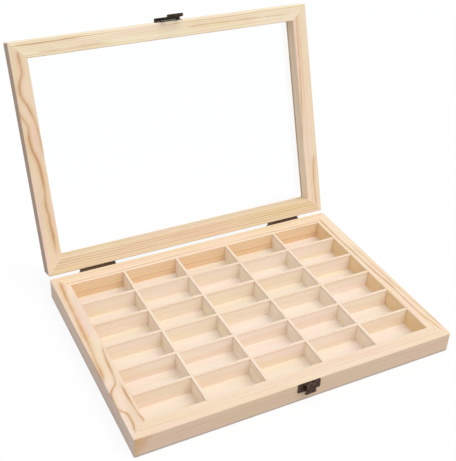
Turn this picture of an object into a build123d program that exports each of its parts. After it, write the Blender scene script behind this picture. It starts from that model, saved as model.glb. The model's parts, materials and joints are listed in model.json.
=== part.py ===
from build123d import *
import os
from math import cos, radians, sin

# A shallow pine display case, shown with its windowed lid standing open.
# The case stands on the XY plane with +Z up, its front faces -Y, and the origin
# is the centre of the underside. Every piece is first made as the closed case
# has it, then the lid and the latch loop are turned to where they stand open.

# Case
case_width = 350.0
case_depth = 252.0
rail_width = 18.0
base_rail_height = 20.5
floor_thickness = 3.0
lid_height = 18.5
seam_gap = 0.3
corner_radius = 2.0
edge_ease = 0.6

# Partition
columns = 5
rows = 6
divider_thickness = 3.0
divider_drop = 0.6
divider_end_clearance = 0.15
halving_clearance = 0.1
divider_ease = 0.35

# Window
pane_thickness = 2.0
pane_setback = 2.2
groove_depth = 4.0
pane_edge_clearance = 0.4
pane_face_clearance = 0.1

# Stop hinges
lid_open_angle = 109.0
hinge_inset = 35.5
hinge_length = 41.0
knuckle_count = 3
knuckle_gap = 0.25
knuckle_radius = 1.4
knuckle_wood_gap = 0.3
pin_radius = 0.7
knuckle_root_angle = 45.0
pin_fit = 0.05
leaf_thickness = 0.8
leaf_reach = 15.0
leaf_corner_cut = 2.0
leaf_skin = 0.02
stop_lip_reach = 7.0
stop_lip_gap = 0.1
stop_lip_bore_cover = 0.35
knuckle_sweep_clearance = 0.35
hinge_screw_inset = 7.5
hinge_screw_drop = 10.6

# Latch loop and its plate on the lid
latch_x = 4.0
latch_plate_width = 29.5
latch_plate_height = 12.5
latch_plate_rise = 1.0
latch_sheet = 0.8
latch_corner_radius = 1.5
latch_barrel_radius = 1.7
latch_barrel_clearance = 0.3
latch_pin_radius = 0.8
latch_pivot_rise = 9.5
latch_ear_width = 2.8
latch_ear_gap = 0.2
latch_nail_spacing = 20.0
latch_nail_rise = 4.2
loop_thickness = 1.2
loop_tip_width = 18.5
loop_bar_height = 2.4
loop_bend_radius = 0.6
loop_lip_reach = 3.4
loop_corner_radius = 1.2
loop_rest_angle = 5.0

# Catch on the base
catch_width = 25.0
catch_height = 10.8
catch_drop = 0.5
keeper_width = 11.0
keeper_height = 11.6
keeper_reach = 5.0
keeper_return = 2.6
keeper_bend_radius = 0.8
keeper_side_clearance = 0.6
keeper_end_clearance = 0.5
catch_nail_spacing = 18.4
catch_nail_drop = 5.4

# Screws and nails
screw_shank_radius = 1.0
screw_shank_length = 9.0
screw_head_radius = 2.0
screw_head_height = 0.9
nail_shank_radius = 0.6
nail_shank_length = 7.0
nail_head_radius = 1.1
nail_head_height = 0.6
wood_hole_fit = 0.02
plate_hole_fit = 0.15

# Worked out from the sizes above
base_height = floor_thickness + base_rail_height
lid_underside = base_height + seam_gap
lid_top = lid_underside + lid_height
back_face = case_depth / 2
front_face = -case_depth / 2
inner_width = case_width - 2 * rail_width
inner_depth = case_depth - 2 * rail_width
divider_height = base_rail_height - divider_drop
cell_width = (inner_width - (columns - 1) * divider_thickness) / columns
cell_depth = (inner_depth - (rows - 1) * divider_thickness) / rows
pin_offset = knuckle_radius + knuckle_wood_gap
pin_y = back_face + pin_offset
pin_z = base_height + seam_gap / 2
knuckle_pitch = hinge_length / knuckle_count
bore_radius = pin_radius + pin_fit
latch_bore_radius = latch_pin_radius + pin_fit
latch_pivot_out = latch_sheet + latch_barrel_clearance + latch_barrel_radius
latch_pivot_y = front_face - latch_pivot_out
latch_pivot_z = lid_underside + latch_pivot_rise
loop_root_width = latch_plate_width - 2 * (latch_ear_width + latch_ear_gap)
keeper_top = base_height - catch_drop - latch_sheet
keeper_bottom = keeper_top - keeper_height


def open_lid(shape):
    """Turn a piece of the closed lid back about the hinge pins."""
    return Pos(0, pin_y, pin_z) * Rot(-lid_open_angle, 0, 0) * Pos(0, -pin_y, -pin_z) * shape


def swing_loop(shape):
    """Swing the latch loop out from the front of the closed lid."""
    pivot = Pos(0, latch_pivot_y, latch_pivot_z)
    return pivot * Rot(-loop_rest_angle, 0, 0) * pivot.inverse() * shape


def save(name, *pieces):
    """Write one named sub-part; several pieces stay separate solids."""
    shape = pieces[0] if len(pieces) == 1 else Compound(children=list(pieces))
    export_step(shape, f"parts/{name}.step")


def rod(radius, length, x, y, z):
    """A round bar along X, centred at a point."""
    return Pos(x, y, z) * Rot(0, 90, 0) * Cylinder(radius, length)


# Timber frames
def rail_ring(bottom, height):
    """The four rails of a frame in one ring, with rounded outer corners."""
    outer = RectangleRounded(case_width, case_depth, corner_radius)
    opening = Rectangle(inner_width, inner_depth)
    return Pos(0, 0, bottom) * extrude(outer - opening, height)


def mitre_wedge(side):
    """A prism that holds one rail of a ring, cut at 45 degrees at both ends."""
    margin = 1.0
    near = rail_width + margin
    half = (case_width if side in ("front", "back") else case_depth) / 2
    edge = (case_depth if side in ("front", "back") else case_width) / 2
    corners = [
        (-half - margin, -edge - margin),
        (half + margin, -edge - margin),
        (half - near, -edge + near),
        (-half + near, -edge + near),
    ]
    turn = {"front": 0, "right": 90, "back": 180, "left": 270}[side]
    wedge = extrude(make_face(Polyline(*corners, close=True)), lid_top + 2 * margin)
    return Rot(0, 0, turn) * Pos(0, 0, -margin) * wedge


def front_to_back_hole(x, y, z, radius, length):
    """A round bar along Y that starts at a point and runs to +Y."""
    return Pos(x, y + length / 2, z) * Rot(90, 0, 0) * Cylinder(radius, length)


def base_rails():
    """The four mitred rails of the base, with holes for the screws and nails."""
    ring = rail_ring(floor_thickness, base_rail_height)
    ring = chamfer(ring.edges().group_by(Axis.Z)[-1], edge_ease)
    for x in hinge_screw_places():
        ring -= wood_hole(x, back_face, pin_z - hinge_screw_drop, screw_shank_radius, screw_shank_length)
    for x in catch_nail_places():
        ring -= wood_hole(x, front_face, catch_nail_z(), nail_shank_radius, nail_shank_length)
    return {side: ring & mitre_wedge(side) for side in ("front", "back", "left", "right")}


def lid_rails():
    """The four mitred rails of the lid, grooved all round for the pane."""
    ring = rail_ring(lid_underside, lid_height)
    ring = chamfer(ring.edges().group_by(Axis.Z)[-1] + ring.edges().group_by(Axis.Z)[0], edge_ease)
    groove_height = pane_thickness + 2 * pane_face_clearance
    groove_top = lid_top - pane_setback
    groove = Box(inner_width + 2 * groove_depth, inner_depth + 2 * groove_depth, groove_height)
    ring -= Pos(0, 0, groove_top - groove_height / 2) * groove
    for x in hinge_screw_places():
        ring -= wood_hole(x, back_face, pin_z + hinge_screw_drop, screw_shank_radius, screw_shank_length)
    for x in latch_nail_places():
        ring -= wood_hole(x, front_face, latch_nail_z(), nail_shank_radius, nail_shank_length)
    return {side: ring & mitre_wedge(side) for side in ("front", "back", "left", "right")}


def wood_hole(x, face_y, z, shank_radius, shank_length):
    """The hole that a screw or a nail makes in a rail, from its outer face."""
    radius = shank_radius + wood_hole_fit
    start = face_y if face_y < 0 else face_y - shank_length
    return front_to_back_hole(x, start, z, radius, shank_length)


def floor_panel():
    """The thin panel under the base rails, eased along its lower edge."""
    panel = extrude(RectangleRounded(case_width, case_depth, corner_radius), floor_thickness)
    return chamfer(panel.edges().group_by(Axis.Z)[0], edge_ease)


def window_pane():
    """The clear sheet that slides in the grooves of the lid rails."""
    overlap = 2 * (groove_depth - pane_edge_clearance)
    pane = Box(inner_width + overlap, inner_depth + overlap, pane_thickness)
    top = lid_top - pane_setback - pane_face_clearance
    return Pos(0, 0, top - pane_thickness / 2) * pane


# Partition
def divider_places(count, pitch):
    """Centre lines of the dividers between equal cells, about the middle."""
    return [(i - (count - 2) / 2) * pitch for i in range(count - 1)]


def divider_strip(length):
    """A thin slat on edge along X, with its two upper edges eased."""
    strip = Pos(0, 0, divider_height / 2) * Box(length, divider_thickness, divider_height)
    upper = strip.edges().filter_by(Axis.X).group_by(Axis.Z)[-1]
    return chamfer(upper, divider_ease)


def halving_notch(x, from_top):
    """A slot half as deep as the slat, for one crossing."""
    depth = divider_height / 2 + halving_clearance / 2
    notch = Box(divider_thickness + 2 * halving_clearance, 2 * divider_thickness, depth)
    middle = divider_height - depth / 2 if from_top else depth / 2
    return Pos(x, 0, middle) * notch


def long_divider(x):
    """A slat from front to back, notched from above where the others cross."""
    strip = divider_strip(inner_depth - 2 * divider_end_clearance)
    for y in divider_places(rows, cell_depth + divider_thickness):
        strip -= halving_notch(y, True)
    return Pos(x, 0, floor_thickness) * Rot(0, 0, 90) * strip


def cross_divider(y):
    """A slat from left to right, notched from below."""
    strip = divider_strip(inner_width - 2 * divider_end_clearance)
    for x in divider_places(columns, cell_width + divider_thickness):
        strip -= halving_notch(x, False)
    return Pos(0, y, floor_thickness) * strip


# Stop hinges, made about their own pin: +Y is away from the case, -Z is down
def leaf_plate_profile():
    """Section of the flat leaf that lies on the back of the rail."""
    top = -knuckle_radius
    height = leaf_reach + top
    centre_y = leaf_skin + leaf_thickness / 2 - pin_offset
    return Pos(centre_y, top - height / 2) * Rectangle(leaf_thickness, height)


def knuckle_profile():
    """Section of a rolled knuckle and the strip that joins it to the leaf."""
    inner = leaf_skin - pin_offset
    outer = inner + leaf_thickness
    root_y = -knuckle_radius * cos(radians(knuckle_root_angle))
    root_z = -knuckle_radius * sin(radians(knuckle_root_angle))
    strip_end = -knuckle_radius - leaf_thickness
    strip = make_face(Polyline(
        (inner, strip_end),
        (-knuckle_radius, 0),
        (0, 0),
        (root_y, root_z),
        (outer, strip_end),
        close=True,
    ))
    return Circle(knuckle_radius) + strip


def stop_lip_profile(start):
    """Section of the slanted lip; its outer face meets the other leaf's lip."""
    lean = lid_open_angle / 2
    length = stop_lip_reach - start
    lip = Pos(start + length / 2, -stop_lip_gap / 2 - leaf_thickness / 2) * Rectangle(length, leaf_thickness)
    return Rot(0, 0, -lean) * lip


def knuckle_spans(first):
    """Start and length of every second knuckle along the pin."""
    left = -hinge_length / 2
    spans = []
    for i in range(first, knuckle_count, 2):
        start = left + i * knuckle_pitch + (knuckle_gap / 2 if i > 0 else 0)
        end = left + (i + 1) * knuckle_pitch - (knuckle_gap / 2 if i < knuckle_count - 1 else 0)
        spans.append((start, end - start))
    return spans


def along_pin(profile, start, length):
    """Extrude a YZ section along the pin."""
    return Pos(start, 0, 0) * extrude(Plane.YZ * profile, length)


def hinge_leaf(first):
    """A leaf with its rolled knuckles, slanted stop lip and screw holes."""
    left = -hinge_length / 2
    leaf = along_pin(leaf_plate_profile(), left, hinge_length)
    leaf = chamfer(leaf.edges().filter_by(Axis.Y).group_by(Axis.Z)[0], leaf_corner_cut)
    leaf += along_pin(stop_lip_profile(knuckle_radius + knuckle_sweep_clearance), left, hinge_length)
    rooted_lip = stop_lip_profile(bore_radius + stop_lip_bore_cover)
    for start, length in knuckle_spans(first):
        leaf += along_pin(knuckle_profile(), start, length)
        leaf += along_pin(rooted_lip, start, length)
    leaf -= Rot(0, 90, 0) * Cylinder(bore_radius, 2 * hinge_length)
    for x in hinge_screw_offsets():
        hole = front_to_back_hole(x, -pin_offset - leaf_thickness, -hinge_screw_drop,
                                  screw_shank_radius + plate_hole_fit, 3 * leaf_thickness)
        leaf -= hole
    return leaf


def base_leaf(x):
    """The leaf on the base, with the outer knuckles."""
    return Pos(x, pin_y, pin_z) * hinge_leaf(0)


def lid_leaf(x):
    """The leaf on the closed lid, with the inner knuckles."""
    return Pos(x, pin_y, pin_z) * mirror(hinge_leaf(1), about=Plane.XY)


def hinge_pin(x):
    """The plain pin, cut off flush with the outer knuckles."""
    return rod(pin_radius, hinge_length, x, pin_y, pin_z)


def hinge_places():
    """Middles of the two hinges."""
    middle = case_width / 2 - hinge_inset - hinge_length / 2
    return {"left": -middle, "right": middle}


def hinge_screw_offsets():
    """Where the two screws of a leaf stand, from the leaf's middle."""
    offset = hinge_length / 2 - hinge_screw_inset
    return (-offset, offset)


def hinge_screw_places():
    """Where the screws of both hinges stand along the back."""
    return [x + offset for x in hinge_places().values() for offset in hinge_screw_offsets()]


# Fasteners
def fastener(head_radius, head_height, shank_radius, shank_length):
    """A flat round head on a shank; the shank runs to +Y from the head's seat."""
    head = Cylinder(head_radius, head_height)
    body = Pos(0, 0, head_height / 2) * head + Pos(0, 0, -shank_length / 2) * Cylinder(shank_radius, shank_length)
    return Rot(90, 0, 0) * body


def hinge_screws(z):
    """The four screws of one row, driven in from the back."""
    seat = back_face + leaf_skin + leaf_thickness
    screw = Rot(0, 0, 180) * fastener(screw_head_radius, screw_head_height, screw_shank_radius,
                                      screw_shank_length)
    return [Pos(x, seat, z) * screw for x in hinge_screw_places()]


def nails(places, z):
    """Short round-headed nails through a sheet plate on the front."""
    nail = fastener(nail_head_radius, nail_head_height, nail_shank_radius, nail_shank_length)
    return [Pos(x, front_face - latch_sheet, z) * nail for x in places]


def latch_nail_places():
    return [latch_x - latch_nail_spacing / 2, latch_x + latch_nail_spacing / 2]


def latch_nail_z():
    return lid_underside + latch_plate_rise + latch_nail_rise


def catch_nail_places():
    return [latch_x - catch_nail_spacing / 2, latch_x + catch_nail_spacing / 2]


def catch_nail_z():
    return base_height - catch_drop - catch_nail_drop


# Latch
def sheet_plate(width, height, bottom):
    """A flat stamped plate with rounded corners on the front face."""
    outline = RectangleRounded(width, height, latch_corner_radius)
    plate = Rot(90, 0, 0) * extrude(outline, latch_sheet)
    return Pos(latch_x, front_face, bottom + height / 2) * plate


def nail_holes(places, z):
    radius = nail_shank_radius + plate_hole_fit
    return [front_to_back_hole(x, front_face - 2 * latch_sheet, z, radius, 3 * latch_sheet) for x in places]


def latch_plate():
    """The plate on the lid, with two ears that hold the loop's pin."""
    bottom = lid_underside + latch_plate_rise
    plate = sheet_plate(latch_plate_width, latch_plate_height, bottom)
    foot = latch_pivot_out - latch_sheet / 2
    for side in (-1, 1):
        ear = Circle(latch_barrel_radius) + Pos(foot / 2, 0) * Rectangle(foot, 2 * latch_barrel_radius)
        middle = latch_x + side * (latch_plate_width - latch_ear_width) / 2
        start = middle - latch_ear_width / 2
        plate += Pos(start, latch_pivot_y, latch_pivot_z) * extrude(Plane.YZ * ear, latch_ear_width)
    plate -= rod(latch_bore_radius, 2 * latch_plate_width, latch_x, latch_pivot_y, latch_pivot_z)
    for hole in nail_holes(latch_nail_places(), latch_nail_z()):
        plate -= hole
    return plate


def latch_pin():
    """The pin through the ears and the loop's barrel."""
    return rod(latch_pin_radius, latch_plate_width, latch_x, latch_pivot_y, latch_pivot_z)


def finger_lip(tip):
    """The end of the loop's sheet, bent out through a right angle for a finger."""
    outer_radius = loop_bend_radius + loop_thickness
    bend_centre = Pos(-loop_thickness / 2 - loop_bend_radius, outer_radius - tip)
    ring = Circle(outer_radius) - Circle(loop_bend_radius)
    quarter = ring & (Pos(outer_radius / 2, -outer_radius / 2) * Rectangle(outer_radius, outer_radius))
    flat_length = loop_lip_reach - outer_radius
    flat = Pos(-flat_length / 2, loop_thickness / 2 - outer_radius) * Rectangle(flat_length, loop_thickness)
    lip = extrude(Plane.YZ * (bend_centre * (quarter + flat)), loop_tip_width)
    lip = fillet(lip.edges().filter_by(Axis.Z).group_by(Axis.Y)[0], loop_corner_radius)
    return Pos(-loop_tip_width / 2, 0, 0) * lip


def latch_loop():
    """A stamped loop that tapers to its bar, rolled round the pin at the top."""
    window_top = latch_pivot_z - (keeper_top + keeper_end_clearance)
    window_bottom = latch_pivot_z - (keeper_bottom - keeper_end_clearance)
    tip = window_bottom + loop_bar_height
    bend_start = tip - loop_bend_radius - loop_thickness
    window_width = keeper_width + 2 * keeper_side_clearance
    outline = make_face(Polyline(
        (-loop_root_width / 2, 0),
        (loop_root_width / 2, 0),
        (loop_tip_width / 2, -bend_start),
        (-loop_tip_width / 2, -bend_start),
        close=True,
    ))
    window = Pos(0, -(window_top + window_bottom) / 2) * Rectangle(window_width, window_bottom - window_top)
    sheet = extrude(outline - window, loop_thickness / 2, both=True)
    loop = Rot(90, 0, 0) * sheet + finger_lip(tip)
    loop += Rot(0, 90, 0) * Cylinder(latch_barrel_radius, loop_root_width)
    loop -= Rot(0, 90, 0) * Cylinder(latch_bore_radius, 2 * loop_root_width)
    return Pos(latch_x, latch_pivot_y, latch_pivot_z) * loop


def keeper_section():
    """Section of the keeper: sheet folded out, down, and a little way back in."""
    height = keeper_top - keeper_bottom
    middle = Pos(-keeper_reach / 2, (keeper_top + keeper_bottom) / 2)
    outer = middle * Rectangle(keeper_reach, height)
    outer = fillet(outer.vertices().group_by(Axis.X)[0], keeper_bend_radius + latch_sheet)
    inner_reach = keeper_reach - latch_sheet
    inner = Pos(latch_sheet / 2, 0) * middle * Rectangle(inner_reach, height - 2 * latch_sheet)
    inner = fillet(inner.vertices().group_by(Axis.X)[0], keeper_bend_radius)
    mouth_width = keeper_reach - keeper_return
    mouth = Pos(-mouth_width / 2, keeper_bottom + latch_sheet / 2) * Rectangle(mouth_width, latch_sheet)
    return outer - inner - mouth


def catch_plate():
    """The plate on the base, with a folded keeper that the loop drops over."""
    plate = sheet_plate(catch_width, catch_height, base_height - catch_drop - catch_height)
    keeper = extrude(Plane.YZ * keeper_section(), keeper_width)
    plate += Pos(latch_x - keeper_width / 2, front_face, 0) * keeper
    for hole in nail_holes(catch_nail_places(), catch_nail_z()):
        plate -= hole
    return plate


def write_parts():
    """Build every piece and write it under its own name."""
    os.makedirs("parts", exist_ok=True)
    save("base_floor", floor_panel())
    for side, rail in base_rails().items():
        save(f"base_{side}_rail", rail)
    for number, x in enumerate(divider_places(columns, cell_width + divider_thickness), 1):
        save(f"long_divider_{number}", long_divider(x))
    for number, y in enumerate(divider_places(rows, cell_depth + divider_thickness), 1):
        save(f"cross_divider_{number}", cross_divider(y))
    for side, rail in lid_rails().items():
        save(f"lid_{side}_rail", open_lid(rail))
    save("window_pane", open_lid(window_pane()))
    for side, x in hinge_places().items():
        save(f"hinge_base_leaf_{side}", base_leaf(x))
        save(f"hinge_lid_leaf_{side}", open_lid(lid_leaf(x)))
        save(f"hinge_pin_{side}", hinge_pin(x))
    save("hinge_base_screws", *hinge_screws(pin_z - hinge_screw_drop))
    save("hinge_lid_screws", *[open_lid(screw) for screw in hinge_screws(pin_z + hinge_screw_drop)])
    save("catch_plate", catch_plate())
    save("catch_nails", *nails(catch_nail_places(), catch_nail_z()))
    save("latch_plate", open_lid(latch_plate()))
    save("latch_nails", *[open_lid(nail) for nail in nails(latch_nail_places(), latch_nail_z())])
    save("latch_pin", open_lid(latch_pin()))
    save("latch_loop", open_lid(swing_loop(latch_loop())))


write_parts()
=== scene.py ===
import bmesh
import bpy
import json
from math import pi, radians
from mathutils import Matrix, Vector


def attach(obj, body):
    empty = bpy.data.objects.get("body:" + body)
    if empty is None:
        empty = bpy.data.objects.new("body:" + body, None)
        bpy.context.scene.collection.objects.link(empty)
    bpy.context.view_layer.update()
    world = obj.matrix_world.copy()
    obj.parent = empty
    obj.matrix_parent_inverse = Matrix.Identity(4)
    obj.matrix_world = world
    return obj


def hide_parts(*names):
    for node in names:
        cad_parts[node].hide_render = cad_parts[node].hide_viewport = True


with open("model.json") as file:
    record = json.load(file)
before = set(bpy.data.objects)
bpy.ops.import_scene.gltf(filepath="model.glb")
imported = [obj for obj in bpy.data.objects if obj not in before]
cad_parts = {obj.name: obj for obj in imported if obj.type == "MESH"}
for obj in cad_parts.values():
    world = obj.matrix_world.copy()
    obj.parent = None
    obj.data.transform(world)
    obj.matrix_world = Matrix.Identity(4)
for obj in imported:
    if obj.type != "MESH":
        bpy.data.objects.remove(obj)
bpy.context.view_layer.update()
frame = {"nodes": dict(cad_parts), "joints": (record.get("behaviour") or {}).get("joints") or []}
nodes = frame["nodes"]
scene = bpy.context.scene
scene.view_settings.view_transform = "Standard"

# The viewpoint: a camera held above the front of the case and to its left,
# which looks down at it on a white table.
camera_place = (-0.34746, -0.60605, 0.58587)
camera_right = Vector((0.89411, -0.44609, 0.03962))
camera_down = Vector((-0.21909, -0.51285, -0.83005))
camera_ahead = Vector((0.3906, 0.73348, -0.55628))
camera_lens = 65.631
camera_film_width = 36.0
camera_near = 0.01
camera_far = 50.0

camera_data = bpy.data.cameras.new("table_camera")
camera_data.lens = camera_lens
camera_data.sensor_width = camera_film_width
camera_data.clip_start = camera_near
camera_data.clip_end = camera_far
camera = bpy.data.objects.new("table_camera", camera_data)
camera_turn = Matrix((camera_right, -camera_down, -camera_ahead)).transposed()
camera.matrix_world = Matrix.Translation(camera_place) @ camera_turn.to_4x4()
scene.collection.objects.link(camera)
scene.camera = camera

# The base frame: four rails of raw pine, planed, mitred at the corners and
# glued, with their long edges just broken by sanding. Each is cut from a plank
# of its own, so the growth rings run differently in each.
case_half_length = 0.175
case_half_depth = 0.126
rail_width = 0.018
long_rail_centre = 0.117
side_rail_centre = 0.166
base_rail_middle = 0.01325
base_rail_half = 0.01025
base_top = 0.0235


def srgb(red, green, blue):
    """A linear colour for one that is written as 0 to 255."""
    def linear(value):
        value = value / 255
        return value / 12.92 if value <= 0.04045 else ((value + 0.055) / 1.055) ** 2.4
    return (linear(red), linear(green), linear(blue), 1.0)


def put(tree, socket, value):
    """Link an output to a socket, or set the socket to a plain value."""
    if isinstance(value, bpy.types.NodeSocket):
        tree.links.new(value, socket)
    else:
        socket.default_value = value


def sums(tree, operation, first, second=0.0, third=0.0):
    """One step of arithmetic on numbers."""
    node = tree.nodes.new("ShaderNodeMath")
    node.operation = operation
    for socket, value in zip(node.inputs, (first, second, third)):
        put(tree, socket, value)
    return node.outputs[0]


def product(tree, first, *others):
    """Numbers multiplied together."""
    for other in others:
        first = sums(tree, "MULTIPLY", first, other)
    return first


def apart(tree, first, second):
    """How far apart two numbers are."""
    return sums(tree, "ABSOLUTE", sums(tree, "SUBTRACT", first, second))


def fade(tree, value, start, end, low=0.0, high=1.0):
    """A smooth step from low at start to high at end."""
    node = tree.nodes.new("ShaderNodeMapRange")
    node.interpolation_type = "SMOOTHSTEP"
    names = ("Value", "From Min", "From Max", "To Min", "To Max")
    for name, item in zip(names, (value, start, end, low, high)):
        put(tree, node.inputs[name], item)
    return node.outputs[0]


def gather(tree, first, second, third):
    """Three numbers as one vector."""
    node = tree.nodes.new("ShaderNodeCombineXYZ")
    for socket, value in zip(node.inputs, (first, second, third)):
        put(tree, socket, value)
    return node.outputs[0]


def spread(tree, vector):
    """The three numbers of a vector."""
    node = tree.nodes.new("ShaderNodeSeparateXYZ")
    tree.links.new(vector, node.inputs[0])
    return node.outputs


def noise(tree, place, cells, detail=2.0, seed=0.0):
    """Smooth noise about 0.5, with so many cells per metre along each axis.

    The seed moves the pattern, by a different amount on each axis.
    """
    scale = tree.nodes.new("ShaderNodeVectorMath")
    scale.operation = "MULTIPLY_ADD"
    put(tree, scale.inputs[0], place)
    scale.inputs[1].default_value = cells
    scale.inputs[2].default_value = (seed, seed * 1.7, seed * 2.3)
    node = tree.nodes.new("ShaderNodeTexNoise")
    tree.links.new(scale.outputs[0], node.inputs["Vector"])
    node.inputs["Scale"].default_value = 1.0
    node.inputs["Detail"].default_value = detail
    return node.outputs["Fac"]


def patches(tree, place, cells, seed, start, end, low=0.0, high=1.0, detail=2.0):
    """Soft patches: low where the noise is under start, and high where it is over end."""
    return fade(tree, noise(tree, place, cells, detail, seed), start, end, low, high)


def chance(tree, number):
    """A random number from 0 to 1 for each whole number."""
    node = tree.nodes.new("ShaderNodeTexWhiteNoise")
    node.noise_dimensions = "1D"
    put(tree, node.inputs["W"], number)
    return node.outputs["Value"]


def blend(tree, share, first, second):
    """Mix two colours; a Mix node keeps these in its sockets 6, 7 and, going out, 2."""
    node = tree.nodes.new("ShaderNodeMix")
    node.data_type = "RGBA"
    for index, value in ((0, share), (6, first), (7, second)):
        put(tree, node.inputs[index], value)
    return node.outputs[2]


def tint(tree, colour, share, tone):
    """Lay a tone, written as 0 to 255, over a colour."""
    return blend(tree, share, colour, srgb(*tone))


def new_finish(name):
    """A material with its node tree and its main shader."""
    material = bpy.data.materials.new(name)
    material.use_nodes = True
    tree = material.node_tree
    return material, tree, tree.nodes["Principled BSDF"]


def bump(tree, shader, height, distance, strength):
    """Drive the shader's normal from a height."""
    node = tree.nodes.new("ShaderNodeBump")
    node.inputs["Strength"].default_value = strength
    node.inputs["Distance"].default_value = distance
    put(tree, node.inputs["Height"], height)
    tree.links.new(node.outputs[0], shader.inputs["Normal"])


lid_joint = [joint for joint in frame["joints"] if joint["name"] == "lid_hinge"][0]
lid_pin = Vector(lid_joint["pos_m"])
lid_open = radians(lid_joint["range_deg"][1])


def place_of(tree, on_lid):
    """The place on the case; a piece of the lid is read as if the lid were shut."""
    texture = tree.nodes.new("ShaderNodeTexCoord")
    if not on_lid:
        return texture.outputs["Object"]
    shut = tree.nodes.new("ShaderNodeMapping")
    shut.inputs["Location"].default_value = lid_pin - Matrix.Rotation(lid_open, 3, "X") @ lid_pin
    shut.inputs["Rotation"].default_value = (lid_open, 0.0, 0.0)
    tree.links.new(texture.outputs["Object"], shut.inputs["Vector"])
    return shut.outputs[0]


# Growth rings: the late wood fills the end of each year, and some years are richer than others
late_wood_start = 0.35
late_wood_full = 0.9
late_wood_end = 0.93
faintest_ring = 0.15
richest_ring = 1.1
rich_year_rarity = 1.5


def growth_rings(tree, board, heart_across, heart_up, ring, drift, slope, seed):
    """How much late wood there is at each place, from 0 to about 1, in rings about the tree's heart."""
    length, width, height = spread(tree, board)
    wander = noise(tree, board, cells=(7.0, 30.0, 30.0), detail=1.0, seed=seed)
    wander = sums(tree, "MULTIPLY_ADD", wander, 2 * drift, -drift)
    slant = sums(tree, "MULTIPLY_ADD", length, slope, width)
    from_heart = gather(tree, sums(tree, "SUBTRACT", slant, heart_across),
                        sums(tree, "SUBTRACT", height, heart_up), 0.0)
    reach = tree.nodes.new("ShaderNodeVectorMath")
    reach.operation = "LENGTH"
    tree.links.new(from_heart, reach.inputs[0])
    year = sums(tree, "DIVIDE", sums(tree, "ADD", reach.outputs["Value"], wander), ring)
    season = sums(tree, "FRACT", year)
    luck = sums(tree, "POWER", chance(tree, sums(tree, "FLOOR", year)), rich_year_rarity)
    richness = sums(tree, "MULTIPLY_ADD", luck, richest_ring - faintest_ring, faintest_ring)
    late = product(tree, fade(tree, season, late_wood_start, late_wood_full),
                   fade(tree, season, late_wood_end, 1.0, low=1.0, high=0.0))
    broken = patches(tree, board, cells=(11.0, 220.0, 220.0), seed=seed + 3.1, start=0.25, end=0.6,
                     low=0.45, detail=1.0)
    return product(tree, late, richness, broken)


def off_line(tree, length, across, points, half_length):
    """How far across the plank a place lies from a wandering line.

    points are places along and across the plank in millimetres.
    """
    low = min(point[1] for point in points) - 1.0
    span = max(point[1] for point in points) + 1.0 - low
    node = tree.nodes.new("ShaderNodeFloatCurve")
    curve = node.mapping.curves[0]
    spots = [((place / 1000 / half_length + 1) / 2, (drift - low) / span) for place, drift in points]
    curve.points[0].location = spots[0]
    curve.points[1].location = spots[-1]
    for spot in spots[1:-1]:
        curve.points.new(*spot)
    node.mapping.update()
    scaled = tree.nodes.new("ShaderNodeMapRange")
    scaled.inputs["From Min"].default_value = -half_length
    scaled.inputs["From Max"].default_value = half_length
    tree.links.new(length, scaled.inputs["Value"])
    tree.links.new(scaled.outputs[0], node.inputs["Value"])
    middle = sums(tree, "MULTIPLY_ADD", node.outputs[0], span / 1000, low / 1000)
    return sums(tree, "SUBTRACT", across, middle)


# Veins: dark lines of late wood in an amber glow, with fainter lines that follow them
vein_colour = (174, 124, 82)
vein_glow_colour = (230, 181, 122)
vein_follow_colour = (222, 176, 132)
vein_start_fade = 0.012
vein_end_fade = 0.02
vein_wall_start = 0.0005
vein_wall_end = 0.005
vein_wall_share = 0.1
follow_spacing = 0.0021
follow_share = 0.3
follow_near = 0.0015
follow_far = 0.008


def add_vein(tree, colour, board, vein, half_length, face, lean, seed):
    """Lay a vein over a colour, on the plank's face at the height called face.

    A vein gives its points, the width and the share of the dark line, and the same of its
    glow. It thins out at its ends and away from the face, and leans outwards as it goes:
    lean is 1 on a left or front rail and -1 on a right one.
    """
    length, width, height = spread(tree, board)
    deep = apart(tree, height, face)
    leaning = sums(tree, "MULTIPLY_ADD", deep, lean, width)
    away = off_line(tree, length, leaning, vein["points"], half_length)
    off = sums(tree, "ABSOLUTE", away)
    first = vein["points"][0][0] / 1000
    last = vein["points"][-1][0] / 1000
    shown = product(tree, fade(tree, length, first, first + vein_start_fade),
                    fade(tree, length, last - vein_end_fade, last, low=1.0, high=0.0),
                    fade(tree, deep, vein_wall_start, vein_wall_end, low=1.0, high=vein_wall_share),
                    patches(tree, board, cells=(40.0, 70.0, 70.0), seed=seed + 13.0, start=0.3, end=0.65,
                            low=0.5))
    beside = product(tree, fade(tree, off, 0.0, vein["glow_width"], low=vein["glow_share"], high=0.0), shown)
    colour = tint(tree, colour, beside, vein_glow_colour)
    wave = sums(tree, "SINE", sums(tree, "MULTIPLY", away, 2 * pi / follow_spacing))
    follow = product(tree, sums(tree, "MULTIPLY_ADD", wave, 0.5, 0.5),
                     fade(tree, off, follow_near, follow_far, low=follow_share, high=0.0), shown)
    colour = tint(tree, colour, follow, vein_follow_colour)
    dark = product(tree, fade(tree, off, 0.0, vein["width"], low=vein["share"], high=0.0), shown)
    return tint(tree, colour, dark, vein_colour)


# Raw pine: warmer and pinker patches, fine fibres, pores, sanded edges and the glue in the mitres
fibre_colour = (222, 188, 150)
fibre_share = 0.16
pore_colour = (196, 156, 114)
pore_share = 0.25
wall_skin_start = 0.0001
wall_skin_end = 0.0003
edge_colour = (253, 238, 220)
edge_wear = 0.0009
edge_share = 0.4
seam_colour = (150, 112, 76)
seam_width = 0.0004
seam_share = 0.16
early_wood_roughness = 0.64
late_wood_roughness = 0.5
late_wood_relief = 0.6
grain_height = 0.00008
grain_strength = 0.4


def on_inner_wall(tree, side, there, elsewhere):
    """One value on a rail's inner wall, from which side is measured, and another on the rest of it."""
    return fade(tree, side, wall_skin_start, wall_skin_end, there, elsewhere)


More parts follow.
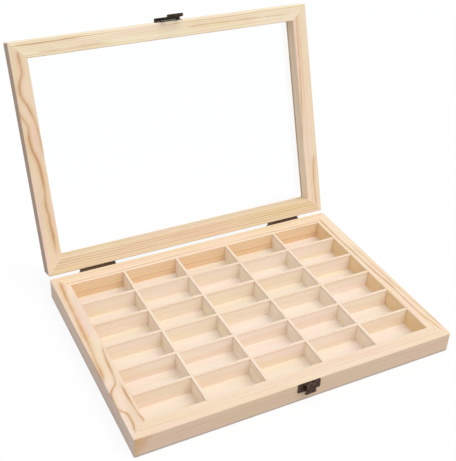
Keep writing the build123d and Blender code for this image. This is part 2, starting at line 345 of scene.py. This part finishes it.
def on_outer_wall(tree, side, there, elsewhere):
    """One value on a rail's outer wall and another on the rest of it."""
    return fade(tree, side, rail_width - wall_skin_end, rail_width - wall_skin_start, elsewhere, there)


def pine(name, along="x", on_lid=False, rail=True, centre=0.0, middle=base_rail_middle,
         half_height=base_rail_half, heart=(0.05, -0.05), ring=0.002, drift=0.0015, slope=0.0, seed=0.0,
         cream=(249, 227, 203), amber=(214, 166, 116), pink=7, ring_share=0.4, inner_ring_share=0.5,
         outer_ring_share=0.4, inner_tone_with_painted_light=None, outer_painted_shading=None, veins=(), vein_face=0.0, vein_lean=1.0):
    """Raw pine: cream early wood, amber late wood in rings about the tree's heart, and fine fibres.

    centre and middle are where the middle of the plank lies, across and up, and half_height is
    half its height. heart is the way from there to the tree's heart, ring the growth of a year,
    drift how far the rings wander and slope how far they run out across the plank. seed picks
    the plank, and each pattern adds a number of its own to it. pink is how pink the pinker
    patches are. The ring shares are how strong the amber is on the face, on a rail's inner wall
    and on its outer wall. inner_tone_with_painted_light is a share and a colour for the inner
    wall: the wood's own tone there with painted bounce light in it. outer_painted_shading is a
    share and a colour for the outer wall: painted shading, darker on a side in shade and lighter
    on a lit one. The veins lie on the face at the height vein_face.
    """
    material, tree, shader = new_finish(name)
    x, y, height = spread(tree, place_of(tree, on_lid))
    if along == "x":
        length, width = x, y
        half_length, half_width = case_half_length, case_half_depth
    else:
        length, width = y, x
        half_length, half_width = case_half_depth, case_half_length
    board = gather(tree, length, width, height)
    side = sums(tree, "SUBTRACT", sums(tree, "ABSOLUTE", width), half_width - rail_width)
    rings = growth_rings(tree, board, centre + heart[0], middle + heart[1], ring, drift, slope, seed)

    red, green, blue = cream
    warm = patches(tree, board, cells=(7.0, 60.0, 60.0), seed=seed + 7.7, start=0.3, end=0.7)
    warmer = (red - 4, green - 3, blue - 15)
    colour = tint(tree, srgb(*cream), warm, warmer)
    blush = patches(tree, board, cells=(14.0, 110.0, 110.0), seed=seed + 11.3, start=0.46, end=0.7)
    pinker = (red + 1, green - pink, blue - 2)
    colour = tint(tree, colour, blush, pinker)
    # Painted light on the inner wall: bounce light from the walls around, over the wood's own tone there
    if inner_tone_with_painted_light:
        share, tone = inner_tone_with_painted_light
        colour = tint(tree, colour, on_inner_wall(tree, side, share, 0.0), tone)
    # Painted shading on the outer wall: a tone that stands in for how the light falls on that side
    if outer_painted_shading:
        share, tone = outer_painted_shading
        colour = tint(tree, colour, on_outer_wall(tree, side, share, 0.0), tone)
    strength = ring_share
    if rail:
        strength = on_inner_wall(tree, side, inner_ring_share, ring_share)
        strength = on_outer_wall(tree, side, outer_ring_share, strength)
    colour = tint(tree, colour, sums(tree, "MULTIPLY", rings, strength), amber)
    fibre = noise(tree, board, cells=(25.0, 1500.0, 1500.0), seed=seed + 5.0)
    colour = tint(tree, colour, fade(tree, fibre, start=0.3, end=0.75, high=fibre_share), fibre_colour)
    pores = patches(tree, board, cells=(110.0, 2600.0, 2600.0), seed=seed + 9.0, start=0.68, end=0.76,
                    high=pore_share, detail=1.0)
    colour = tint(tree, colour, pores, pore_colour)
    for vein in veins:
        colour = add_vein(tree, colour, board, vein, half_length, vein_face, vein_lean, seed)

    if rail:
        near_side = sums(tree, "SUBTRACT", rail_width / 2, apart(tree, side, rail_width / 2))
        near_top = sums(tree, "SUBTRACT", half_height, apart(tree, height, middle))
        edge = fade(tree, sums(tree, "MAXIMUM", near_side, near_top), 0.0, edge_wear, edge_share, 0.0)
        colour = tint(tree, colour, edge, edge_colour)
        mitre = sums(tree, "SUBTRACT", sums(tree, "ABSOLUTE", x), sums(tree, "ABSOLUTE", y))
        seam = apart(tree, mitre, case_half_length - case_half_depth)
        colour = tint(tree, colour, fade(tree, seam, 0.0, seam_width, seam_share, 0.0), seam_colour)
    tree.links.new(colour, shader.inputs["Base Color"])
    roughness = fade(tree, rings, 0.0, 1.0, early_wood_roughness, late_wood_roughness)
    tree.links.new(roughness, shader.inputs["Roughness"])
    relief = sums(tree, "MULTIPLY_ADD", rings, late_wood_relief, fibre)
    bump(tree, shader, relief, grain_height, grain_strength)
    return material, tree, shader, board, colour


def paint(node, material):
    """Give a piece its finish."""
    for slot in nodes[node].material_slots:
        slot.material = material


# The front rail's golden inner wall is partly painted bounce light, and its darker, pinker outer face is
# painted shade.
front_pine, tree, shader, board, colour = pine(
    "pine_base_front", centre=-long_rail_centre, heart=(0.06, -0.05), ring=0.0017, drift=0.0026, slope=0.004,
    seed=1.0, cream=(246, 223, 197), amber=(202, 152, 110), ring_share=0.65, outer_ring_share=0.55,
    inner_tone_with_painted_light=(0.5, (244, 214, 178)), outer_painted_shading=(0.3, (238, 208, 190)))
# Resinous amber streaks where a knot lay just past the left end of the front rail
resin_colour = (222, 170, 110)
resin_share = 0.9
resin_start = -0.001
resin_end = 0.014
resin_lean = 0.6
ripple_reach = 0.008
ripple_cells_along = 900.0
ripple_cells_up = 120.0
resin_front = -0.1262
resin_back = -0.1250
x, y, height = spread(tree, board)
streak_way = sums(tree, "SUBTRACT", sums(tree, "ADD", x, case_half_length),
                  sums(tree, "MULTIPLY", height, resin_lean))
ripple_place = gather(tree, sums(tree, "MULTIPLY", streak_way, ripple_cells_along),
                      sums(tree, "MULTIPLY", height, ripple_cells_up), 0.0)
ripple = noise(tree, ripple_place, cells=(1.0, 1.0, 1.0), seed=4.0)
resin = product(tree, fade(tree, sums(tree, "MULTIPLY_ADD", ripple, ripple_reach, streak_way),
                           resin_start, resin_end, low=resin_share, high=0.0),
                fade(tree, ripple, start=0.4, end=0.6, low=0.3),
                fade(tree, y, resin_front, resin_back, low=1.0, high=0.0))
tree.links.new(tint(tree, colour, resin, resin_colour), shader.inputs["Base Color"])
paint("base_front_rail", front_pine)

# The back rail's golden inner wall is partly painted bounce light.
paint("base_back_rail", pine(
    "pine_base_back", centre=long_rail_centre, heart=(-0.05, -0.08), ring=0.0023, seed=2.0,
    cream=(252, 229, 203), amber=(198, 146, 98), ring_share=0.6, inner_ring_share=0.95,
    inner_tone_with_painted_light=(0.85, (245, 213, 174)))[0])
base_left_veins = [
    dict(width=0.0022, share=0.5, glow_width=0.006, glow_share=0.85,
         points=[(-48, -175), (-41.5, -173.5), (-32.5, -172.5), (-15.5, -172), (3, -170.5), (38, -169.5),
                 (75, -168.5), (105, -167), (126, -166)]),
    dict(width=0.0017, share=0.68, glow_width=0.0036, glow_share=0.5,
         points=[(-124, -171.5), (-115, -170), (-104.5, -168.5), (-94.5, -169), (-90, -172.5),
                 (-79.5, -175), (-69.5, -174.5), (-60.5, -171), (-51, -164.5), (-38.5, -163),
                 (-25.5, -162.5), (-14.5, -161.5), (8, -158)]),
    dict(width=0.0016, share=0.68, glow_width=0.003, glow_share=0.55,
         points=[(-116, -157.5), (-105.5, -158.5), (-96.5, -160), (-83, -160.5), (-68.5, -161),
                 (-48, -159)]),
    dict(width=0.0022, share=0.8, glow_width=0.003, glow_share=0.6,
         points=[(-52, -175), (-44, -174), (-36, -173), (-28, -173)]),
]
# The left rail's golden inner wall is partly painted bounce light, and its outer side is painted lighter,
# painted light on a side in shade.
paint("base_left_rail", pine(
    "pine_base_left", along="y", centre=-side_rail_centre, heart=(0.004, -0.05), ring=0.0024, drift=0.003,
    seed=3.0, cream=(247, 225, 208), amber=(180, 132, 100), ring_share=0.24, outer_ring_share=0.9,
    inner_tone_with_painted_light=(0.4, (244, 214, 178)), outer_painted_shading=(0.4, (254, 234, 218)), veins=base_left_veins,
    vein_face=base_top)[0])
base_right_veins = [
    dict(width=0.0011, share=0.78, glow_width=0.0024, glow_share=0.4,
         points=[(-124, 170.5), (-115, 169), (-102, 167.5), (-87.5, 165.5), (-69, 165), (-50, 165),
                 (-31, 165.5), (-14.5, 164), (9, 163), (35.5, 163), (59, 162), (84.5, 162), (122, 163)]),
    dict(width=0.0009, share=0.5, glow_width=0.002, glow_share=0.3,
         points=[(-118, 173), (-84, 172.5), (-52.5, 171), (-10, 170), (60, 169)]),
]
# The right rail's golden inner wall is partly painted bounce light.
paint("base_right_rail", pine(
    "pine_base_right", along="y", centre=side_rail_centre, heart=(-0.03, -0.06), ring=0.0023, drift=0.002,
    seed=4.0, cream=(251, 230, 206), ring_share=0.5, inner_tone_with_painted_light=(0.9, (246, 218, 170)),
    veins=base_right_veins, vein_face=base_top, vein_lean=-1.0)[0])

# The floor: a thin panel of pale plywood glued under the rails. Its cut edge
# shows all round as a greyer line, darkest at the ply in its middle, and darkened
# further as painted shade at the foot of the case.
floor_middle = 0.0015
rim_depth = 0.0008
rim_share = 0.85
# The rim's grey is the ply's cut edge with painted shade at the foot of the case.
rim_colour_with_painted_shade = (206, 188, 172)
dark_ply_colour = (180, 158, 138)
dark_ply_half = 0.0006
dark_ply_share = 0.4
floor_pine, tree, shader, board, colour = pine(
    "ply_floor", rail=False, heart=(0.0, -0.2), ring=0.004, seed=5.0, cream=(249, 238, 228), pink=3,
    ring_share=0.16)
x, y, height = spread(tree, board)
past_end = sums(tree, "SUBTRACT", sums(tree, "ABSOLUTE", x), case_half_length - rim_depth)
past_side = sums(tree, "SUBTRACT", sums(tree, "ABSOLUTE", y), case_half_depth - rim_depth)
rim = fade(tree, sums(tree, "MAXIMUM", past_end, past_side), 0.0, wall_skin_end, high=rim_share)
dark_ply = fade(tree, apart(tree, height, floor_middle), 0.0, dark_ply_half, dark_ply_share, 0.0)
cut_edge = tint(tree, srgb(*rim_colour_with_painted_shade), dark_ply, dark_ply_colour)
tree.links.new(blend(tree, rim, colour, cut_edge), shader.inputs["Base Color"])
paint("base_floor", floor_pine)

# The partition: thin planed pine slats, halved over each other like an egg
# crate, which stand on the floor inside the frame. They are paler than the
# rails, with faint grain.
slat_top = 0.0199
# The long slats are painted lighter than the cross slats: painted light that offsets the shade on their
# sides.
long_slat_cream_with_painted_light = (255, 245, 232)
cross_slat_cream = (252, 238, 227)
slat_amber = (226, 188, 146)
sawn_colour = (240, 214, 188)
sawn_share = 0.55
long_slat_ring = 0.0032
cross_slat_ring = 0.0034
heart_step = 0.02
long_slats = 4
cross_slats = 5
long_slat_seed = 6.0
cross_slat_seed = 16.0


def slat_pine(name, along, heart_up, ring, cream, seed):
    """Pale slat pine with a slightly darker sawn top edge."""
    material, tree, shader, board, colour = pine(
        name, along=along, rail=False, heart=(0.2, heart_up), ring=ring, seed=seed, cream=cream,
        amber=slat_amber, pink=2, ring_share=0.3)
    height = spread(tree, board)[2]
    sawn = fade(tree, height, slat_top - wall_skin_end, slat_top - wall_skin_start, high=sawn_share)
    tree.links.new(tint(tree, colour, sawn, sawn_colour), shader.inputs["Base Color"])
    return material


for number in range(1, long_slats + 1):
    paint(f"long_divider_{number}", slat_pine(
        f"pine_long_slat_{number}", "y", heart_step * number, long_slat_ring, long_slat_cream_with_painted_light,
        long_slat_seed + number))
for number in range(1, cross_slats + 1):
    paint(f"cross_divider_{number}", slat_pine(
        f"pine_cross_slat_{number}", "x", -heart_step * number, cross_slat_ring, cross_slat_cream,
        cross_slat_seed + number))

# The lid frame: four more mitred pine rails, grooved for the window. Dark
# growth lines wander in slow curves down the face of the left one.
lid_rail_middle = 0.03305
lid_rail_half = 0.00925
lid_underside = 0.0238
lid_left_veins = [
    dict(width=0.0023, share=0.62, glow_width=0.0055, glow_share=0.6,
         points=[(-121, -167.5), (-116.5, -166.5), (-106, -165.5), (-97.5, -165), (-91, -166.5),
                 (-85, -169), (-77.5, -170.5), (-68.5, -169), (-60.5, -165.5), (-49, -162), (-41, -160),
                 (-22, -158), (0, -156.5)]),
    dict(width=0.0023, share=0.62, glow_width=0.006, glow_share=0.6,
         points=[(-62, -177), (-52, -174), (-43.5, -170.5), (-36.5, -168.5), (-26.5, -169.5),
                 (-17.5, -169), (-9, -167), (1, -164.5), (12, -163.5), (32.5, -163.5), (46, -164.5),
                 (59, -163.5), (72, -163), (84.5, -162.5), (108, -163)]),
]
lid_right_veins = [
    dict(width=0.0014, share=0.5, glow_width=0.004, glow_share=0.4,
         points=[(50, 174), (68, 168.5), (86, 167.5), (109, 168), (126, 169.5)]),
    dict(width=0.0012, share=0.45, glow_width=0.003, glow_share=0.35,
         points=[(-124, 161.5), (-112, 161.5), (-15, 159.5), (6.5, 158), (40, 156.5)]),
]
lid_front_veins = [
    dict(width=0.0009, share=0.6, glow_width=0.002, glow_share=0.35,
         points=[(-172, -121.5), (-141.5, -121.5), (-131, -121.5), (-115.5, -122), (-84, -123)]),
    dict(width=0.0008, share=0.4, glow_width=0.002, glow_share=0.2,
         points=[(-150, -112.5), (-120, -112.5), (-90, -113), (-60, -113.5)]),
    dict(width=0.0008, share=0.45, glow_width=0.002, glow_share=0.2,
         points=[(20, -117.5), (60, -117.5), (110, -117), (160, -116.5)]),
]
lid_rail = dict(on_lid=True, middle=lid_rail_middle, half_height=lid_rail_half, vein_face=lid_underside)
paint("lid_front_rail", pine(
    "pine_lid_front", centre=-long_rail_centre, heart=(0.07, 0.015), ring=0.0021, slope=0.006, seed=31.0,
    cream=(255, 243, 217), ring_share=0.95, veins=lid_front_veins, **lid_rail)[0])
paint("lid_back_rail", pine(
    "pine_lid_back", centre=long_rail_centre, heart=(-0.08, 0.02), ring=0.0027, slope=-0.01, seed=32.0,
    cream=(240, 217, 184), amber=(188, 140, 94), ring_share=1.0, **lid_rail)[0])
# The left rail's outer side is painted dark grey-brown: painted shade on the side away from the lamp.
paint("lid_left_rail", pine(
    "pine_lid_left", along="y", centre=-side_rail_centre, heart=(0.006, 0.05), ring=0.0024, drift=0.003,
    seed=33.0, cream=(248, 225, 201), amber=(168, 122, 92), ring_share=0.13, outer_ring_share=0.6,
    outer_painted_shading=(0.85, (172, 147, 130)), veins=lid_left_veins, **lid_rail)[0])
# The right rail's inner wall is painted lighter: painted light on a wall in shade.
paint("lid_right_rail", pine(
    "pine_lid_right", along="y", centre=side_rail_centre, heart=(-0.05, 0.03), ring=0.0024, seed=34.0,
    cream=(249, 228, 204), ring_share=0.5, inner_ring_share=1.0, inner_tone_with_painted_light=(0.9, (255, 235, 208)),
    veins=lid_right_veins, vein_lean=-1.0, **lid_rail)[0])

# The window: a clear acrylic sheet held in the grooves of the lid frame, with
# a faint haze of fine rubbing marks.
acrylic_colour = (0.99, 0.995, 0.995, 1.0)
acrylic_index = 1.49
clean_roughness = 0.02
rubbed_roughness = 0.06


def mix_shaders(tree, share, first, second):
    """The second of two shaders over the first, by a share from 0 to 1."""
    node = tree.nodes.new("ShaderNodeMixShader")
    put(tree, node.inputs[0], share)
    tree.links.new(first.outputs[0], node.inputs[1])
    tree.links.new(second.outputs[0], node.inputs[2])
    return node


window, tree, shader = new_finish("clear_acrylic")
shader.inputs["Base Color"].default_value = acrylic_colour
shader.inputs["Transmission Weight"].default_value = 1.0
shader.inputs["IOR"].default_value = acrylic_index
marks = patches(tree, place_of(tree, True), cells=(40.0, 900.0, 40.0), seed=2.0, start=0.6, end=0.8,
                low=clean_roughness, high=rubbed_roughness, detail=3.0)
tree.links.new(marks, shader.inputs["Roughness"])
light_path = tree.nodes.new("ShaderNodeLightPath")
clear = tree.nodes.new("ShaderNodeBsdfTransparent")
through = mix_shaders(tree, light_path.outputs["Is Shadow Ray"], shader, clear)
tree.links.new(through.outputs[0], tree.nodes["Material Output"].inputs["Surface"])
paint("window_pane", window)

# The hinges: stamped and rolled steel with an antique bronze finish, nearly
# black in places and rubbed to brown in others. Each has a leaf screwed to the
# back of the base, one screwed to the back of the lid, and a pin.
bronze_speck_colour = (136, 116, 102)
bronze_speck_share = 0.65
bronze_metal = 0.2
bronze_shine = 0.2
bronze_dark_roughness = 0.5
bronze_brown_roughness = 0.7
bronze_relief = 0.00006
bronze_relief_strength = 0.4
hinge_dark = (56, 40, 28)
hinge_brown = (96, 70, 48)


def bronze(name, dark, brown, on_lid, seed):
    """Antique bronze plating: blotchy and dark, with brown where it is rubbed, and paler specks."""
    material, tree, shader = new_finish(name)
    place = place_of(tree, on_lid)
    blotch = patches(tree, place, cells=(300.0, 300.0, 300.0), seed=seed, start=0.36, end=0.66, detail=3.0)
    speck = patches(tree, place, cells=(1300.0, 1300.0, 1300.0), seed=seed + 2.0, start=0.58, end=0.7,
                    high=bronze_speck_share)
    colour = tint(tree, srgb(*dark), blotch, brown)
    tree.links.new(tint(tree, colour, speck, bronze_speck_colour), shader.inputs["Base Color"])
    shader.inputs["Metallic"].default_value = bronze_metal
    shader.inputs["Specular IOR Level"].default_value = bronze_shine
    roughness = fade(tree, blotch, 0.0, 1.0, bronze_dark_roughness, bronze_brown_roughness)
    tree.links.new(roughness, shader.inputs["Roughness"])
    bump(tree, shader, sums(tree, "ADD", blotch, speck), bronze_relief, bronze_relief_strength)
    return material


hinge_bronze = bronze("bronze_hinges_base", hinge_dark, hinge_brown, on_lid=False, seed=1.0)
hinge_bronze_lid = bronze("bronze_hinges_lid", hinge_dark, hinge_brown, on_lid=True, seed=2.0)
for end in ("left", "right"):
    paint(f"hinge_base_leaf_{end}", hinge_bronze)
    paint(f"hinge_pin_{end}", hinge_bronze)
    paint(f"hinge_lid_leaf_{end}", hinge_bronze_lid)

# The latch: a loop that swings from a small plate on the lid and drops over a
# folded keeper on the base, all of the same dark bronzed sheet. Nails hold the
# plate and the keeper.
latch_bronze = bronze("bronze_latch", dark=(36, 29, 20), brown=(66, 51, 34), on_lid=True, seed=3.0)
catch_bronze = bronze("bronze_catch", dark=(46, 33, 27), brown=(92, 68, 56), on_lid=False, seed=4.0)
for part in ("latch_plate", "latch_pin", "latch_loop"):
    paint(part, latch_bronze)
paint("catch_plate", catch_bronze)

# The screws and nails: small bronzed fasteners with domed heads, cut or drawn
# from rod, the screws with a cross recess and ridged shanks. The hinges hang
# on four screws each, and two nails hold each plate of the latch.
screw_head_radius = 0.002
screw_head_height = 0.0009
screw_shank_radius = 0.001
screw_shank_length = 0.009
screw_ridges = 8
ridge_crest = 0.3
ridge_foot = 0.8
ridge_foot_share = 0.72
plain_neck = 0.8
nail_head_radius = 0.0011
nail_head_height = 0.0006
nail_head_flat_share = 0.35
nail_shank_radius = 0.0006
nail_shank_length = 0.007
point_length = 0.0012
point_share = 0.55
recess_arm = 0.0011
recess_half_width = 0.0002
recess_depth = 0.0005
recess_taper = 0.7
recess_land = 1.15
dome_steps = ((0.0, 0.0), (0.0, 0.25), (0.12, 0.5), (0.42, 0.8))
turning_steps = 32
weld_distance = 1e-7
first_turn = 0.7
next_turn = 1.9


def dome_outline(radius, height, top_radius):
    """Points of a low dome from its rim up to a flat top, out from the axis and up."""
    dome = [(radius - inwards * (radius - top_radius), up * height) for inwards, up in dome_steps]
    return dome + [(top_radius, height)]


def turned(outline):
    """A mesh turned about Z from points out from the axis and up."""
    mesh = bmesh.new()
    corners = [mesh.verts.new((out, 0.0, up)) for out, up in outline]
    edges = [mesh.edges.new(pair) for pair in zip(corners, corners[1:])]
    bmesh.ops.spin(mesh, geom=corners + edges, cent=(0, 0, 0), axis=(0, 0, 1), angle=2 * pi,
                   steps=turning_steps, use_merge=True)
    bmesh.ops.remove_doubles(mesh, verts=mesh.verts, dist=weld_distance)
    return mesh


def shank_outline(radius, length, ridges):
    """Points from the tip of a shank up to the underside of its head."""
    outline = [(0.0, -length), (point_share * radius, point_length - length)]
    body = length - point_length
    for ridge in range(ridges):
        outline.append((radius, -body + body * (ridge + ridge_crest) / (ridges + 1)))
        outline.append((ridge_foot_share * radius, -body + body * (ridge + ridge_foot) / (ridges + 1)))
    outline.append((radius, -body / (ridges + 1) * plain_neck if ridges else -body))
    outline.append((radius, 0.0))
    return outline


def screw_mesh():
    """A screw with its head up: a domed head, a cross recess and a ridged shank."""
    outline = shank_outline(screw_shank_radius, screw_shank_length, screw_ridges)
    outline += dome_outline(screw_head_radius, screw_head_height, recess_land * recess_arm)
    mesh = turned(outline)
    rim = [edge for edge in mesh.edges if edge.is_boundary]
    arm, half = recess_arm, recess_half_width
    corners = [(half, half), (half, arm), (-half, arm), (-half, half), (-arm, half), (-arm, -half),
               (-half, -half), (-half, -arm), (half, -arm), (half, -half), (arm, -half), (arm, half)]
    cross = [mesh.verts.new((x, y, screw_head_height)) for x, y in corners]
    sides = [mesh.edges.new((cross[i - 1], cross[i])) for i in range(len(cross))]
    bmesh.ops.triangle_fill(mesh, edges=rim + sides, use_beauty=True, normal=(0, 0, 1))
    filled = [face for face in mesh.faces if all(corner in cross for corner in face.verts)]
    bmesh.ops.delete(mesh, geom=filled, context="FACES_ONLY")
    walls = bmesh.ops.extrude_edge_only(mesh, edges=sides)["geom"]
    lowered = [item for item in walls if isinstance(item, bmesh.types.BMVert)]
    for corner in lowered:
        x, y, z = corner.co
        corner.co = Vector((x * recess_taper, y * recess_taper, z - recess_depth))
    bottom = [item for item in walls if isinstance(item, bmesh.types.BMEdge)]
    bmesh.ops.triangle_fill(mesh, edges=bottom, use_beauty=True, normal=(0, 0, 1))
    return mesh


def nail_mesh():
    """A nail with its head up: a round head and a plain pointed shank."""
    outline = shank_outline(nail_shank_radius, nail_shank_length, 0)
    outline += dome_outline(nail_head_radius, nail_head_height, nail_head_flat_share * nail_head_radius)
    outline.append((0.0, nail_head_height))
    return turned(outline)


def fasten(name, node, body, single, places, out, material):
    """Copies of one fastener in a piece, their heads out along a direction, each turned its own way."""
    whole = bmesh.new()
    turn = Vector((0.0, 0.0, 1.0)).rotation_difference(out).to_matrix().to_4x4()
    for number, place in enumerate(places):
        copy = single()
        bmesh.ops.recalc_face_normals(copy, faces=copy.faces)
        spun = Matrix.Rotation(first_turn + next_turn * number, 4, "Z")
        bmesh.ops.transform(copy, matrix=Matrix.Translation(place) @ turn @ spun, verts=copy.verts)
        data = bpy.data.meshes.new("single")
        copy.to_mesh(data)
        copy.free()
        whole.from_mesh(data)
        bpy.data.meshes.remove(data)
    data = bpy.data.meshes.new(name)
    whole.to_mesh(data)
    whole.free()
    for face in data.polygons:
        face.use_smooth = True
    data.materials.append(material)
    piece = bpy.data.objects.new(name, data)
    scene.collection.objects.link(piece)
    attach(piece, body)
    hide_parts(node)


lid_turn = Matrix.Rotation(-lid_open, 3, "X")


def opened(place):
    """Where a place on the shut lid stands with the lid open."""
    return lid_turn @ (Vector(place) - lid_pin) + lid_pin


fastener_dark = (34, 27, 22)
fastener_brown = (66, 50, 40)
fastener_bronze = bronze("bronze_fasteners", fastener_dark, fastener_brown, on_lid=False, seed=5.0)
fastener_bronze_lid = bronze("bronze_fasteners_lid", fastener_dark, fastener_brown, on_lid=True, seed=6.0)
hinge_middle = 0.119
screw_spread = 0.013
screw_drop = 0.0106
leaf_face = 0.12682
screw_x = [side * hinge_middle + offset for side in (-1, 1) for offset in (-screw_spread, screw_spread)]
latch_middle = 0.004
plate_face = -0.1268
latch_nail_spread = 0.010
latch_nail_z = 0.029
latch_nail_x = (latch_middle - latch_nail_spread, latch_middle + latch_nail_spread)
catch_nail_spread = 0.0092
catch_nail_z = 0.0176
catch_nail_x = (latch_middle - catch_nail_spread, latch_middle + catch_nail_spread)
back_way = Vector((0.0, 1.0, 0.0))
front_way = Vector((0.0, -1.0, 0.0))
fasten("hinge_base_screw_set", "hinge_base_screws", "base", screw_mesh,
       [Vector((x, leaf_face, lid_pin.z - screw_drop)) for x in screw_x], back_way, fastener_bronze)
fasten("hinge_lid_screw_set", "hinge_lid_screws", "lid", screw_mesh,
       [opened((x, leaf_face, lid_pin.z + screw_drop)) for x in screw_x], lid_turn @ back_way,
       fastener_bronze_lid)
fasten("catch_nail_set", "catch_nails", "base", nail_mesh,
       [Vector((x, plate_face, catch_nail_z)) for x in catch_nail_x], front_way, fastener_bronze)
fasten("latch_nail_set", "latch_nails", "lid", nail_mesh,
       [opened((x, plate_face, latch_nail_z)) for x in latch_nail_x], lid_turn @ front_way,
       fastener_bronze_lid)

# The table and the light: a white table top that takes a faint soft shadow, a
# large soft lamp above and in front, and an even, slightly cool room that is
# darker at the left.
table_size = 8.0
# What is lit sees a grey table and a dim room, which the camera, gloss and glass see as white
table_bounce = (0.34, 0.29, 0.27, 1.0)
shadow_share = 0.12
pure_white = (1.0, 1.0, 1.0, 1.0)
room_tint = (0.94, 0.98, 1.04, 1.0)
room_light = 0.76
room_light_left = 0.61
room_left_end = -0.95
room_left_start = -0.45
lamp_tint = (1.07, 1.03, 0.93)
lamp_power = 82.0
lamp_size = 3.2
lamp_place = Vector((1.1, -2.1, 3.8))
lamp_aim = Vector((0.0, 0.0, 0.05))


def seen_rays(tree):
    """1 for a ray that shows what it meets: from the camera, off gloss or through glass."""
    path = tree.nodes.new("ShaderNodeLightPath")
    seen = sums(tree, "MAXIMUM", path.outputs["Is Camera Ray"], path.outputs["Is Glossy Ray"])
    return sums(tree, "MAXIMUM", seen, path.outputs["Is Transmission Ray"])


table_mesh = bmesh.new()
bmesh.ops.create_grid(table_mesh, x_segments=1, y_segments=1, size=table_size / 2)
table_data = bpy.data.meshes.new("table_top")
table_mesh.to_mesh(table_data)
table_mesh.free()
table_top = bpy.data.objects.new("table_top", table_data)
scene.collection.objects.link(table_top)
table_finish = bpy.data.materials.new("white_table")
table_finish.use_nodes = True
tree = table_finish.node_tree
tree.nodes.clear()
soft_grey = tree.nodes.new("ShaderNodeBsdfDiffuse")
soft_grey.inputs["Color"].default_value = table_bounce
shaded = tree.nodes.new("ShaderNodeBsdfDiffuse")
shaded.inputs["Color"].default_value = pure_white
glow = tree.nodes.new("ShaderNodeEmission")
glow.inputs["Strength"].default_value = 1.0
white_top = mix_shaders(tree, shadow_share, glow, shaded)
top = mix_shaders(tree, seen_rays(tree), soft_grey, white_top)
output = tree.nodes.new("ShaderNodeOutputMaterial")
tree.links.new(top.outputs[0], output.inputs["Surface"])
table_data.materials.append(table_finish)

world = bpy.data.worlds.new("white_room")
scene.world = world
world.use_nodes = True
tree = world.node_tree
tree.nodes.clear()
dim = tree.nodes.new("ShaderNodeBackground")
dim.inputs["Color"].default_value = room_tint
way = tree.nodes.new("ShaderNodeTexCoord")
left_to_right = spread(tree, way.outputs["Generated"])[0]
tree.links.new(fade(tree, left_to_right, room_left_end, room_left_start, room_light_left, room_light),
               dim.inputs["Strength"])
bright = tree.nodes.new("ShaderNodeBackground")
bright.inputs["Color"].default_value = pure_white
bright.inputs["Strength"].default_value = 1.0
room = mix_shaders(tree, seen_rays(tree), dim, bright)
output = tree.nodes.new("ShaderNodeOutputWorld")
tree.links.new(room.outputs[0], output.inputs["Surface"])

lamp_data = bpy.data.lights.new("soft_lamp", "AREA")
lamp_data.energy = lamp_power
lamp_data.color = lamp_tint
lamp_data.size = lamp_size
lamp = bpy.data.objects.new("soft_lamp", lamp_data)
lamp.location = lamp_place
lamp.rotation_euler = (lamp_aim - lamp_place).to_track_quat("-Z", "Y").to_euler()
scene.collection.objects.link(lamp)
